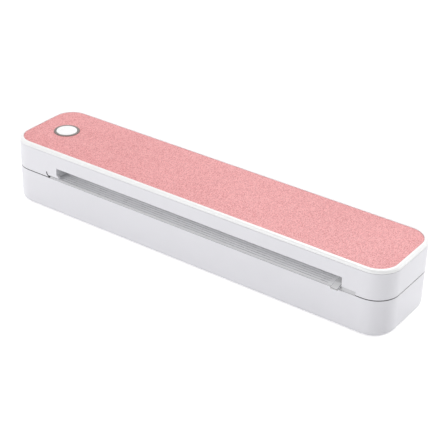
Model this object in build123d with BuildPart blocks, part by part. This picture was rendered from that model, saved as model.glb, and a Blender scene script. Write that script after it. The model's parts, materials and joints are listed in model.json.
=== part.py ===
from build123d import *
import math
import os

# A portable thermal printer for A4 and letter sheets.
# Frame: +X along its length, +Y to its back, +Z up, the paper slot at -Y.
# The origin is on the surface it stands on, under the middle of its body. Millimetres.

os.makedirs("parts", exist_ok=True)

# Housing
body_length = 300.0
body_depth = 63.0
body_height = 48.4
corner_radius = 16.4
wall = 2.2
foot_proud = 0.2
bottom_edge_radius = 5.2
base_inset = 0.15
seam_z = 27.2
seam_gap = 0.7
fit_gap = 0.3
running_gap = 0.05
snug_gap = 0.02

# Top cover and its leather panel
cover_height = 2.4
cover_groove = 0.3
cover_groove_depth = 0.6
cover_edge_radius = 1.7
panel_inset = 2.85
panel_thickness = 0.65
panel_recess = 0.7
stake_radius = 1.2

# Button
button_inset = 25.0
bezel_radius = 9.0
cap_radius = 7.35
cap_crown = 0.3
button_travel = 0.5
flange_height = 0.6
stem_radius = 2.4
switch_size = 6.0
switch_height = 3.4
plunger_radius = 1.7

# Paper slot at the front and paper exit at the back
left_end = 42.5
right_end = 30.5
slot_height = 9.4
exit_height = 5.8
plate_thickness = 1.2
plate_left_lap = 6.5
plate_right_lap = 9.5
plate_depth = 14.0
ceiling_back_y = -19.0
stop_height = 1.4
stop_depth = 6.0
deck_thickness = 1.8
deck_left_lap = 1.1
deck_right_gap = 1.9
deck_back_gap = 5.5
deck_screw_hole = 10.0
ledge_reach = 0.6
relief_slit_width = 0.9
relief_slit_offset = 6.1
plate_notch_gap = 0.9
toe_size = 2.4

# Side guide
tongue_inset = 5.7
tongue_width = 5.1
tongue_reach = 3.75
tongue_thickness = 1.3
tongue_front_height = 0.85
guide_height = 2.55
guide_ramp_back = 1.8
guide_travel = 160.0
guide_play = 0.15
guide_slit = 1.2
slit_back_land = 1.3
shoe_thickness = 1.3

# Hinge of the lid
hinge_radius = 3.2
hinge_pin_radius = 1.0
knuckle_inset = 24.0
knuckle_width = 6.0
ear_width = 3.5
ear_gap = 0.5

# Platen and its drive
platen_y = 2.0
platen_z = 22.6
platen_radius = 6.0
platen_core_radius = 3.5
journal_radius = 2.0
left_margin = 0.9
right_margin = 8.9
frame_thickness = 1.5
frame_play = 2.9
bush_radius = 3.2
bush_flange = 0.6
gear_module = 0.6
pressure_angle = math.radians(25)
addendum_share = 0.75
dedendum_share = 1.0
backlash = 0.09
gear_spread = 0.06
platen_teeth = 26
idler_small_teeth = 14
idler_large_teeth = 28
pinion_teeth = 12
gear_width = 3.5
gear_gap = 0.5
axle_radius = 1.25
motor_y = -17.0
motor_z = 14.5
motor_radius = 8.9
motor_length = 18.0
motor_shaft_radius = 1.0

# Print head
head_gap = 0.3
ceramic_thickness = 1.0
ceramic_front = -4.5
ceramic_back = 6.5
sink_thickness = 3.5
head_front = -7.0
head_back = 18.0
pivot_y = 14.0
pivot_rise = 1.1
pivot_pin_radius = 1.5
head_frame_drop = 3.8
head_frame_thickness = 1.2
spring_radius = 2.5
spring_wire = 0.5

# Electronics, battery and small parts
board_thickness = 1.6
small_board_thickness = 1.2
cell_radius = 9.2
cell_length = 65.0
cell_clearance = 1.95
tray_wall = 1.2
usb_width = 9.0
usb_height = 3.2
usb_depth = 7.4
magnet_radius = 3.0
magnet_thickness = 3.0
keeper_thickness = 1.5
magnet_gap = 0.5
screw_radius = 0.9
screw_head_radius = 1.9
screw_head_height = 1.1
boss_radius = 2.8
boss_height = 4.0
cable_width = 12.0
cable_thickness = 0.3
cable_y = 21.0
cable_roof_gap = 2.8
wire_radius = 0.6
wire_bend = 2.0
foot_length = 14.0
foot_width = 6.0
foot_thickness = 1.2

# Levels and faces that follow from the sizes above
floor_z = foot_proud + wall
lid_bottom_z = seam_z + seam_gap
lid_top_z = body_height - cover_height
roof_z = lid_top_z - wall
plate_top_z = seam_z + plate_thickness
slot_top_z = lid_bottom_z + slot_height - seam_gap
front_y = -body_depth / 2
inner_x = body_length / 2 - wall
inner_y = body_depth / 2 - wall
base_front_y = front_y + base_inset
slot_left = -body_length / 2 + left_end
slot_right = body_length / 2 - right_end
plate_left = slot_left - plate_left_lap
plate_right = slot_right + plate_right_lap
deck_left = slot_left - deck_left_lap
deck_right = slot_right - deck_right_gap
deck_back = body_depth / 2 - deck_back_gap
printing_left = slot_left + left_margin
printing_right = slot_right - right_margin
tongue_left = slot_right - tongue_inset
button_x = -body_length / 2 + button_inset
knuckle_middle = body_length / 2 - knuckle_inset
hinge_y = body_depth / 2 - hinge_radius - 0.2
hinge_z = seam_z + hinge_radius + 0.9
lid_sweep_radius = body_depth / 2 - hinge_y
plate_front_y = base_front_y + 0.15
plate_back_y = plate_front_y + plate_depth
deck_front_y = plate_back_y + 0.2
frame_left = printing_left - frame_play
frame_right = printing_right + frame_play
small_gear_x = frame_left - frame_thickness - gear_gap - gear_width
large_gear_x = small_gear_x - gear_gap - gear_width
ceramic_z = platen_z + platen_radius + head_gap
sink_z = ceramic_z + ceramic_thickness
pivot_z = sink_z + sink_thickness + pivot_rise
head_left = printing_left - 0.4
head_right = printing_right + 0.4
head_middle = (head_left + head_right) / 2
head_frame_z = roof_z - head_frame_drop
board_seat_z = floor_z + boss_height
cell_z = floor_z + tray_wall + cell_radius
cell_y = inner_y - base_inset - cell_radius - cell_clearance
cell_gap = 5.0
cell_middle_xs = (-(cell_length + cell_gap) / 2, (cell_length + cell_gap) / 2)
cell_ends = cell_length + cell_gap / 2 + 0.3
corner_post = (body_length / 2 - 11.5, front_y + 11.5)
board_x = (frame_left + motor_length + 20.5, slot_right + cable_width)
board_y = (front_y + 4.0, front_y + 22.0)
board_middle_y = (board_y[0] + board_y[1]) / 2
usb_board_x = (-inner_x + base_inset + 0.2, -inner_x + 21.8)


# Shapes that several pieces share

def housing_outline(z, inset):
    """The rounded rectangle that the housing has in plan, drawn in by inset."""
    with BuildSketch(Plane.XY.offset(z)) as outline:
        RectangleRounded(body_length - 2 * inset, body_depth - 2 * inset, corner_radius - inset)
    return outline.sketch


def block(x_span, y_span, z_span, mode=Mode.ADD):
    """A box between two values on each axis."""
    spans = (x_span, y_span, z_span)
    middle = tuple((low + high) / 2 for low, high in spans)
    with Locations(middle):
        Box(*(high - low for low, high in spans), mode=mode)


def rod_x(x_span, y, z, radius, mode=Mode.ADD):
    """A cylinder along X."""
    low, high = x_span
    with Locations(Location(((low + high) / 2, y, z), (0, 90, 0))):
        Cylinder(radius, high - low, mode=mode)


def rod_z(x, y, z_span, radius, mode=Mode.ADD):
    """A cylinder along Z."""
    low, high = z_span
    with Locations((x, y, (low + high) / 2)):
        Cylinder(radius, high - low, mode=mode)


def side_profile(x, points):
    """A closed outline in the plane across the length, points given as (y, z)."""
    with BuildSketch(Plane.YZ.offset(x)) as profile:
        with BuildLine():
            Polyline(*points, close=True)
        make_face()
    return profile.sketch


def screw(x, y, seat_z, length, up=1):
    """A pan-head screw whose head sits on seat_z and whose shank runs down, or up if up is -1."""
    head = sorted((seat_z, seat_z + up * screw_head_height))
    shank = sorted((seat_z, seat_z - up * length))
    rod_z(x, y, head, screw_head_radius)
    rod_z(x, y, shank, screw_radius - snug_gap)


def pitch_radius(teeth):
    return teeth * gear_module / 2


def gear_profile(x, y, z, teeth, phase):
    """An involute spur gear about an axis along X, with one tooth's middle at the phase angle."""
    pitch = pitch_radius(teeth)
    base = pitch * math.cos(pressure_angle)
    tip = pitch + addendum_share * gear_module
    root = pitch - dedendum_share * gear_module
    half_at_pitch = (math.pi * gear_module / 2 - backlash) / 2 / pitch

    def involute(angle):
        return math.tan(angle) - angle

    def half_tooth(radius):
        at_radius = math.acos(min(1.0, base / radius))
        return half_at_pitch + involute(pressure_angle) - involute(at_radius)

    flank_start = max(base, root)
    steps = 4
    radii = [flank_start + (tip - flank_start) * step / steps for step in range(steps + 1)]
    if root < flank_start:
        radii = [root] + radii
    points = []
    for tooth in range(teeth):
        middle = phase + 2 * math.pi * tooth / teeth
        flank = [(radius, half_tooth(max(radius, base))) for radius in radii]
        turns = [(radius, middle - half) for radius, half in flank]
        turns += [(radius, middle + half) for radius, half in reversed(flank)]
        points += [(radius * math.cos(turn), radius * math.sin(turn)) for radius, turn in turns]
    plane = Plane(origin=(x, y, z), x_dir=(0, 1, 0), z_dir=(1, 0, 0))
    with BuildSketch(plane) as profile:
        with BuildLine():
            Polyline(*points, close=True)
        make_face()
    return profile.sketch


def third_corner(first, second, first_side, second_side):
    """The lower corner of a triangle on two axes, from its two other sides."""
    span_y = second[0] - first[0]
    span_z = second[1] - first[1]
    span = math.hypot(span_y, span_z)
    along = (first_side**2 - second_side**2 + span**2) / (2 * span)
    across = math.sqrt(first_side**2 - along**2)
    corner_y = first[0] + (span_y * along + span_z * across) / span
    corner_z = first[1] + (span_z * along - span_y * across) / span
    return corner_y, corner_z


# Places of the gear train's middle axle, and the angles at which its gears mesh
motor_axis = (motor_y, motor_z)
platen_axis = (platen_y, platen_z)
motor_mesh = pitch_radius(pinion_teeth) + pitch_radius(idler_large_teeth) + gear_spread
platen_mesh = pitch_radius(idler_small_teeth) + pitch_radius(platen_teeth) + gear_spread
idler_y, idler_z = third_corner(motor_axis, platen_axis, motor_mesh, platen_mesh)
idler_to_motor = math.atan2(motor_z - idler_z, motor_y - idler_y)
idler_to_platen = math.atan2(platen_z - idler_z, platen_y - idler_y)
pinion_phase = idler_to_motor + math.pi + math.pi / pinion_teeth
platen_phase = idler_to_platen + math.pi + math.pi / platen_teeth

# Places of screws, posts and small parts
post_spots = [
    (deck_left + 8.6, deck_back - 4.0),
    (deck_right - 17.6, deck_back - 4.0),
    (deck_left + 28.6, board_middle_y + 5.5),
    (deck_right - 11.6, board_middle_y + 5.5),
]
board_spots = [(board_x[0] + 5.0, board_y[0] + 4.0), (board_x[1] - 39.5, board_y[0] + 4.0)]
usb_board_spots = [(usb_board_x[1] - 6.0, y) for y in (-6.0, 6.0)]
frame_flange = 8.0
left_flange_x = frame_left + frame_flange / 2
right_flange_x = frame_right - frame_flange / 2
frame_flange_ys = (-1.5, 6.5)
frame_spots = [(x, y) for x in (left_flange_x, right_flange_x) for y in frame_flange_ys]
head_frame_xs = (head_left + 15.0, head_middle - 32.0, head_middle + 32.0, head_right - 15.0)
head_frame_spots = [(x, 4.0) for x in head_frame_xs]
spring_spots = [(head_middle + shift, 0.0) for shift in (-64.0, 0.0, 64.0)]
button_board_spots = [(button_x, -8.0), (button_x, 8.0)]
stake_x_place = body_length / 2 - 50.0
stake_y_place = body_depth / 2 - 7.5
stake_xs = (-stake_x_place, 0.0, stake_x_place)
stake_spots = [(x, y) for x in stake_xs for y in (-stake_y_place, stake_y_place)]
foot_x_place = body_length / 2 - 38.0
foot_y_place = body_depth / 2 - 12.5
foot_spots = [(x, y) for x in (-foot_x_place, foot_x_place) for y in (-foot_y_place, foot_y_place)]
magnet_spots = [(-corner_post[0], corner_post[1]), (corner_post[0], corner_post[1])]


# The base and what is fixed in it

with BuildPart() as base_shell:
    extrude(housing_outline(foot_proud, base_inset), amount=seam_z - foot_proud)
    fillet(base_shell.faces().sort_by(Axis.Z)[0].edges(), radius=bottom_edge_radius)
    offset(amount=-wall, openings=base_shell.faces().sort_by(Axis.Z)[-1])
    for x, y in post_spots:
        rod_z(x, y, (floor_z, seam_z - deck_thickness + plate_thickness), boss_radius)
    for x, y in board_spots + usb_board_spots + frame_spots:
        rod_z(x, y, (floor_z, board_seat_z), boss_radius)
    for x, y in magnet_spots:
        rod_z(x, y, (floor_z, lid_bottom_z - magnet_gap + fit_gap), magnet_radius + wall / 2)
    for side in (-1, 1):
        middle = side * knuckle_middle
        knuckle = (middle - knuckle_width / 2, middle + knuckle_width / 2)
        neck_y = (hinge_y - hinge_radius, body_depth / 2 - base_inset)
        block(knuckle, neck_y, (seam_z - 5.0, hinge_z))
        rod_x(knuckle, hinge_y, hinge_z, hinge_radius)
        rod_x(knuckle, hinge_y, hinge_z, hinge_pin_radius + running_gap, mode=Mode.SUBTRACT)
    for x, y in board_spots + usb_board_spots + frame_spots:
        rod_z(x, y, (floor_z, board_seat_z), screw_radius, mode=Mode.SUBTRACT)
    for x, y in post_spots:
        rod_z(x, y, (seam_z - deck_screw_hole, seam_z), screw_radius, mode=Mode.SUBTRACT)
    for x, y in magnet_spots:
        keeper_seat_z = lid_bottom_z - magnet_gap + fit_gap - keeper_thickness
        rod_z(x, y, (keeper_seat_z, seam_z + 1.0), magnet_radius + snug_gap, mode=Mode.SUBTRACT)
    for x, y in foot_spots:
        foot_x = (x - foot_length / 2, x + foot_length / 2)
        foot_y = (y - foot_width / 2, y + foot_width / 2)
        block(foot_x, foot_y, (0, foot_thickness), mode=Mode.SUBTRACT)
    usb_z = board_seat_z + small_board_thickness + usb_height / 2
    with Locations(Location((-body_length / 2, 0, usb_z), (0, 90, 0))):
        Box(usb_height + 0.4, usb_width + 0.4, 3 * wall, mode=Mode.SUBTRACT)

with BuildPart() as rubber_feet:
    for x, y in foot_spots:
        foot_x = (x - foot_length / 2, x + foot_length / 2)
        foot_y = (y - foot_width / 2, y + foot_width / 2)
        block(foot_x, foot_y, (0, foot_thickness))

with BuildPart() as paper_deck:
    deck_z = (plate_top_z - deck_thickness, plate_top_z)
    block((deck_left, deck_right), (deck_front_y, deck_back), deck_z)
    ledge_z = (seam_z - plate_thickness, seam_z)
    block((deck_left, deck_right), (deck_front_y - ledge_reach, deck_front_y + 1.2), ledge_z)
    window_y = (platen_y - platen_radius + 0.6, platen_y + platen_radius - 0.6)
    block((printing_left - 0.8, printing_right + 0.8), window_y, deck_z, mode=Mode.SUBTRACT)
    sensor_hole_y = (deck_front_y + 2.4, deck_front_y + 7.0)
    block((-4.3, 4.3), sensor_hole_y, deck_z, mode=Mode.SUBTRACT)
    for x, y in post_spots:
        rod_z(x, y, deck_z, screw_radius + 0.2, mode=Mode.SUBTRACT)
        sunk_z = (plate_top_z - screw_head_height - 0.1, plate_top_z)
        rod_z(x, y, sunk_z, screw_head_radius + 0.2, mode=Mode.SUBTRACT)

with BuildPart() as deck_screws:
    for x, y in post_spots:
        screw(x, y, plate_top_z - screw_head_height - 0.1, 7.0)

slit_middle_y = plate_back_y - slit_back_land - guide_slit / 2
tongue_right = tongue_left + tongue_width
with BuildPart() as guide_plate:
    block((plate_left, plate_right), (plate_front_y, plate_back_y), (seam_z, plate_top_z))
    slit_x = (tongue_left - guide_travel, tongue_right)
    slit_y = (slit_middle_y - guide_slit / 2, slit_middle_y + guide_slit / 2)
    block(slit_x, slit_y, (seam_z, plate_top_z), mode=Mode.SUBTRACT)
    stop_x = (tongue_right + 2 * fit_gap, plate_right)
    stop_y = (plate_front_y, plate_front_y + stop_depth)
    block(stop_x, stop_y, (plate_top_z, plate_top_z + stop_height))

flange_z = (board_seat_z, board_seat_z + frame_thickness)
frame_y = (motor_y - motor_radius, platen_y + 8.0)
frame_top_z = plate_top_z - deck_thickness - 0.1

with BuildPart() as left_frame:
    block((frame_left - frame_thickness, frame_left), frame_y, (board_seat_z, frame_top_z))
    flange_y = (frame_flange_ys[0] - 3.0, frame_flange_ys[1] + 3.0)
    block((frame_left, frame_left + frame_flange), flange_y, flange_z)
    frame_x = (frame_left - frame_thickness, frame_left)
    rod_x(frame_x, platen_y, platen_z, bush_radius, mode=Mode.SUBTRACT)
    rod_x(frame_x, motor_y, motor_z, 2.5, mode=Mode.SUBTRACT)
    rod_x(frame_x, idler_y, idler_z, axle_radius, mode=Mode.SUBTRACT)
    for x, y in frame_spots:
        rod_z(x, y, flange_z, screw_radius + 0.2, mode=Mode.SUBTRACT)
    upright_edges = left_frame.edges().filter_by(Axis.X).group_by(Axis.Z)[-1]
    fillet(upright_edges, radius=3.0)

with BuildPart() as right_frame:
    block((frame_right, frame_right + frame_thickness), (-8.0, frame_y[1]), (board_seat_z, frame_top_z))
    block((frame_right - frame_flange, frame_right), flange_y, flange_z)
    rod_x((frame_right, frame_right + frame_thickness), platen_y, platen_z, bush_radius, mode=Mode.SUBTRACT)
    for x, y in frame_spots:
        rod_z(x, y, flange_z, screw_radius + 0.2, mode=Mode.SUBTRACT)
    upright_edges = right_frame.edges().filter_by(Axis.X).group_by(Axis.Z)[-1]
    fillet(upright_edges, radius=3.0)

with BuildPart() as frame_screws:
    for x, y in frame_spots:
        screw(x, y, flange_z[1], 4.5)

with BuildPart() as platen_bushes:
    for inner_face, outward in ((frame_left, -1), (frame_right, 1)):
        sleeve = sorted((inner_face, inner_face + outward * frame_thickness))
        flange = sorted((inner_face, inner_face - outward * 1.0))
        rod_x(sleeve, platen_y, platen_z, bush_radius - snug_gap)
        rod_x(flange, platen_y, platen_z, bush_radius + bush_flange)
    whole_x = (frame_left - 5.0, frame_right + 5.0)
    rod_x(whole_x, platen_y, platen_z, journal_radius + running_gap, mode=Mode.SUBTRACT)

motor_x = (frame_left, frame_left + motor_length)
with BuildPart() as motor_housing:
    rod_x(motor_x, motor_y, motor_z, motor_radius - 0.4)
    rod_x((frame_left - frame_thickness, frame_left), motor_y, motor_z, 2.4)
    rim_edges = motor_housing.edges().filter_by(GeomType.CIRCLE).sort_by(Axis.X)[-1]
    chamfer(rim_edges, length=0.8)
    shaft_x = (frame_left - frame_thickness, frame_left + motor_length - 3.0)
    rod_x(shaft_x, motor_y, motor_z, motor_shaft_radius + running_gap, mode=Mode.SUBTRACT)

with BuildPart() as gear_axle:
    axle_x = (large_gear_x - 1.2, frame_left)
    rod_x(axle_x, idler_y, idler_z, axle_radius - snug_gap)
    rod_x((frame_left, frame_left + 0.8), idler_y, idler_z, axle_radius + 1.0)
    clip_x = (large_gear_x - 0.9, large_gear_x - 0.3)
    rod_x(clip_x, idler_y, idler_z, axle_radius + 1.0)

with BuildPart() as main_board:
    board_z = (board_seat_z, board_seat_z + board_thickness)
    block(board_x, board_y, board_z)
    for x, y in board_spots:
        rod_z(x, y, board_z, screw_radius + 0.2, mode=Mode.SUBTRACT)
    rod_z(*post_spots[3], board_z, boss_radius + fit_gap, mode=Mode.SUBTRACT)

board_top_z = board_seat_z + board_thickness
battery_plug_x = cell_ends + 6.2
motor_plug_y = board_middle_y
component_blocks = [
    # middle x, middle y, length, depth, height
    (-40.0, board_middle_y + 1.5, 14.0, 12.0, 1.4),
    (-12.0, board_middle_y - 1.5, 8.0, 8.0, 1.2),
    (10.0, board_middle_y + 3.5, 20.0, 5.0, 4.2),
    (44.0, board_middle_y + 0.5, 10.0, 10.0, 3.0),
    (battery_plug_x, board_middle_y + 2.5, 8.0, 6.0, 5.5),
    (board_x[0] + 4.5, motor_plug_y, 5.0, 6.0, 4.0),
    (slot_right + cable_width / 2, board_middle_y + 6.0, cable_width + 3.0, 5.0, 2.4),
]
capacitor_spots = [
    (board_x[0] + 13.0, board_middle_y + 4.5),
    (28.0, board_middle_y - 3.0),
    (60.0, board_middle_y - 4.0),
]
with BuildPart() as board_components:
    for x, y, length, depth, height in component_blocks:
        part_z = (board_top_z, board_top_z + height)
        block((x - length / 2, x + length / 2), (y - depth / 2, y + depth / 2), part_z)
    for x, y in capacitor_spots:
        rod_z(x, y, (board_top_z, board_top_z + 7.0), 3.0)

with BuildPart() as board_screws:
    for x, y in board_spots:
        screw(x, y, board_top_z, 4.5)
    for x, y in usb_board_spots:
        screw(x, y, board_seat_z + small_board_thickness, 4.5)

with BuildPart() as usb_board:
    usb_board_z = (board_seat_z, board_seat_z + small_board_thickness)
    block(usb_board_x, (-9.5, 9.5), usb_board_z)
    for x, y in usb_board_spots:
        rod_z(x, y, usb_board_z, screw_radius + 0.2, mode=Mode.SUBTRACT)

with BuildPart() as usb_socket:
    mouth_x = -body_length / 2 + base_inset + 0.3
    socket_plane = Plane(origin=(mouth_x, 0, usb_z), x_dir=(0, 1, 0), z_dir=(1, 0, 0))
    with BuildSketch(socket_plane):
        RectangleRounded(usb_width, usb_height, usb_height / 2 - 0.05)
    extrude(amount=usb_depth)
    with BuildSketch(socket_plane):
        RectangleRounded(usb_width - 0.6, usb_height - 0.6, usb_height / 2 - 0.4)
    extrude(amount=usb_depth - 1.0, mode=Mode.SUBTRACT)
    tongue_z = (usb_z - 0.35, usb_z + 0.35)
    block((mouth_x + 0.8, mouth_x + usb_depth - 0.5), (-3.3, 3.3), tongue_z)

with BuildPart() as battery_tray:
    tray_end = cell_length + cell_gap / 2 + tray_wall + 1.0
    tray_half = cell_radius + tray_wall - 0.4
    tray_y = (cell_y - tray_half, cell_y + tray_half)
    block((-tray_end, tray_end), tray_y, (floor_z, cell_z + 1.0))
    low_back_edge = battery_tray.edges().filter_by(Axis.X).group_by(Axis.Z)[0].sort_by(Axis.Y)[-1]
    chamfer(low_back_edge, length=bottom_edge_radius - wall)
    for x in cell_middle_xs:
        cell_x = (x - cell_length / 2 - 0.8, x + cell_length / 2 + 0.8)
        rod_x(cell_x, cell_y, cell_z, cell_radius + snug_gap, mode=Mode.SUBTRACT)
        cell_y_span = (cell_y - cell_radius - snug_gap, cell_y + cell_radius + snug_gap)
        block(cell_x, cell_y_span, (cell_z, cell_z + 2.0), mode=Mode.SUBTRACT)

with BuildPart() as battery_cells:
    for x in cell_middle_xs:
        rod_x((x - cell_length / 2, x + cell_length / 2), cell_y, cell_z, cell_radius)
    cell_rims = battery_cells.edges().filter_by(GeomType.CIRCLE)
    fillet(cell_rims, radius=0.8)

with BuildPart() as battery_contacts:
    for x in cell_middle_xs:
        for end in (-1, 1):
            face_x = x + end * cell_length / 2
            contact_x = sorted((face_x, face_x + end * 0.3))
            contact_y = (cell_y - 3.0, cell_y + 3.0)
            block(contact_x, contact_y, (cell_z - 3.0, cell_z + 4.0))

wire_level = floor_z + 2.2
plug_face = (board_middle_y + 5.5 + snug_gap, board_top_z + 2.8)
wire_run_y = tray_y[0] - 3.5
wire_routes = [
    [
        (cell_ends, cell_y, cell_z + 3.2),
        (battery_plug_x + 1.2, cell_y, cell_z + 3.2),
        (battery_plug_x + 1.2, cell_y, plug_face[1]),
        (battery_plug_x + 1.2, *plug_face),
    ],
    [
        (-cell_ends, cell_y, cell_z + 3.2),
        (-cell_ends - 5.5, cell_y, cell_z + 3.2),
        (-cell_ends - 5.5, cell_y, wire_level),
        (-cell_ends - 5.5, wire_run_y, wire_level),
        (battery_plug_x - 1.2, wire_run_y, wire_level),
        (battery_plug_x - 1.2, plug_face[0] + 8.5, plug_face[1]),
        (battery_plug_x - 1.2, *plug_face),
    ],
]
with BuildPart() as battery_wires:
    for route in wire_routes:
        with BuildLine() as run:
            FilletPolyline(*route, radius=wire_bend)
        with BuildSketch(Plane(origin=route[0], z_dir=run.line % 0)):
            Circle(wire_radius)
        sweep(path=run.line)

with BuildPart() as motor_wires:
    with BuildSketch(Plane.XZ.offset(-motor_plug_y - 2.0)):
        with BuildLine():
            motor_end = frame_left + motor_length
            FilletPolyline(
                (motor_end, motor_z),
                (motor_end + 9.0, motor_z),
                (board_x[0] - 7.0, board_top_z + 2.0),
                (board_x[0] + 2.0 - snug_gap, board_top_z + 2.0),
                radius=wire_bend,
            )
        trace(line_width=1.0)
    extrude(amount=4.0)

usb_route = [
    (usb_board_x[1] + 0.1, 7.0, board_seat_z + small_board_thickness / 2),
    (usb_board_x[1] + 4.5, 7.0, board_seat_z + small_board_thickness / 2),
    (usb_board_x[1] + 8.0, 12.5, wire_level),
    (frame_left + frame_flange + 2.0, 12.5, wire_level),
    (board_x[0] - 6.5, board_middle_y + 8.5, board_seat_z + board_thickness / 2),
    (board_x[0] - 0.1, board_middle_y + 6.5, board_seat_z + board_thickness / 2),
]
with BuildPart() as usb_cable:
    with BuildLine() as run:
        FilletPolyline(*usb_route, radius=wire_bend)
    with BuildSketch(Plane(origin=usb_route[0], z_dir=run.line % 0)):
        Circle(wire_radius)
    sweep(path=run.line)

with BuildPart() as paper_sensor:
    sensor_y = (sensor_hole_y[0] + 0.2, sensor_hole_y[1] - 0.2)
    block((-4.0, 4.0), sensor_y, (deck_z[0] - 3.0, plate_top_z - 0.2))
    sensor_flange_y = (sensor_hole_y[0] - 1.2, sensor_hole_y[1] + 1.2)
    block((-6.5, 6.5), sensor_flange_y, (deck_z[0] - 3.0, deck_z[0] - 2.0))
    block((-6.5, 6.5), (sensor_hole_y[1] + 0.1, sensor_hole_y[1] + 1.2), (deck_z[0] - 3.0, deck_z[0]))

with BuildPart() as latch_keepers:
    for x, y in magnet_spots:
        rod_z(x, y, (keeper_seat_z, keeper_seat_z + keeper_thickness), magnet_radius)


# The platen roller and the gears that turn it

with BuildPart() as platen_shaft:
    rod_x((small_gear_x, frame_right + frame_thickness + 1.5), platen_y, platen_z, journal_radius)
    rod_x((printing_left - 1.0, printing_right + 1.0), platen_y, platen_z, platen_core_radius)

with BuildPart() as platen_rubber:
    rod_x((printing_left, printing_right), platen_y, platen_z, platen_radius)
    core_bore = platen_core_radius + snug_gap
    rod_x((printing_left, printing_right), platen_y, platen_z, core_bore, mode=Mode.SUBTRACT)

with BuildPart() as platen_gear:
    extrude(gear_profile(small_gear_x, *platen_axis, platen_teeth, platen_phase), amount=gear_width)
    gear_x = (small_gear_x - 1.0, small_gear_x + gear_width + 1.0)
    rod_x(gear_x, platen_y, platen_z, journal_radius + snug_gap, mode=Mode.SUBTRACT)

with BuildPart() as idler_gear:
    large_profile = gear_profile(large_gear_x, idler_y, idler_z, idler_large_teeth, idler_to_motor)
    small_profile = gear_profile(small_gear_x, idler_y, idler_z, idler_small_teeth, idler_to_platen)
    extrude(large_profile, amount=gear_width)
    extrude(small_profile, amount=gear_width)
    hub_x = (large_gear_x + gear_width, small_gear_x)
    rod_x(hub_x, idler_y, idler_z, pitch_radius(idler_small_teeth) - gear_module)
    bore_x = (large_gear_x - 1.0, small_gear_x + gear_width + 1.0)
    rod_x(bore_x, idler_y, idler_z, axle_radius + running_gap, mode=Mode.SUBTRACT)

with BuildPart() as motor_pinion:
    extrude(gear_profile(large_gear_x, *motor_axis, pinion_teeth, pinion_phase), amount=gear_width)
    pinion_bore_x = (large_gear_x - 1.0, large_gear_x + gear_width + 1.0)
    pinion_bore = motor_shaft_radius + snug_gap
    rod_x(pinion_bore_x, motor_y, motor_z, pinion_bore, mode=Mode.SUBTRACT)

with BuildPart() as motor_shaft:
    rod_x((large_gear_x, frame_left + motor_length - 4.0), motor_y, motor_z, motor_shaft_radius)


# The side guide, which slides along the plate

tongue_z = (plate_top_z + guide_play, plate_top_z + guide_play + tongue_thickness)
guide_front_y = front_y - tongue_reach
guide_back_y = plate_back_y - 0.2
block_back_y = ceiling_back_y - fit_gap
with BuildPart() as side_guide:
    # a low block with a ramp at its front, which runs out into the finger tongue
    guide_points = [
        (guide_front_y, tongue_z[0]),
        (guide_front_y, tongue_z[0] + tongue_front_height),
        (front_y + guide_ramp_back, tongue_z[0] + guide_height),
        (block_back_y, tongue_z[0] + guide_height),
        (block_back_y, tongue_z[1]),
        (guide_back_y, tongue_z[1]),
        (guide_back_y, tongue_z[0]),
    ]
    extrude(side_profile(tongue_left, guide_points), amount=tongue_width)
    front_corners = side_guide.edges().filter_by(Axis.Z).group_by(Axis.Y)[0]
    fillet(front_corners, radius=0.4)
    stem_middle_x = (tongue_left + tongue_right) / 2
    stem_x = (stem_middle_x - 1.5, stem_middle_x + 1.5)
    stem_half = guide_slit / 2 - guide_play
    stem_y = (slit_middle_y - stem_half, slit_middle_y + stem_half)
    block(stem_x, stem_y, (seam_z - guide_play, tongue_z[1]))

with BuildPart() as guide_shoe:
    shoe_z = (seam_z - guide_play - shoe_thickness, seam_z - guide_play)
    shoe_back_y = deck_front_y - ledge_reach - fit_gap
    block((tongue_left, tongue_right), (slit_middle_y - 2.6, shoe_back_y), shoe_z)


# The lid and what is fixed in it

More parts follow.
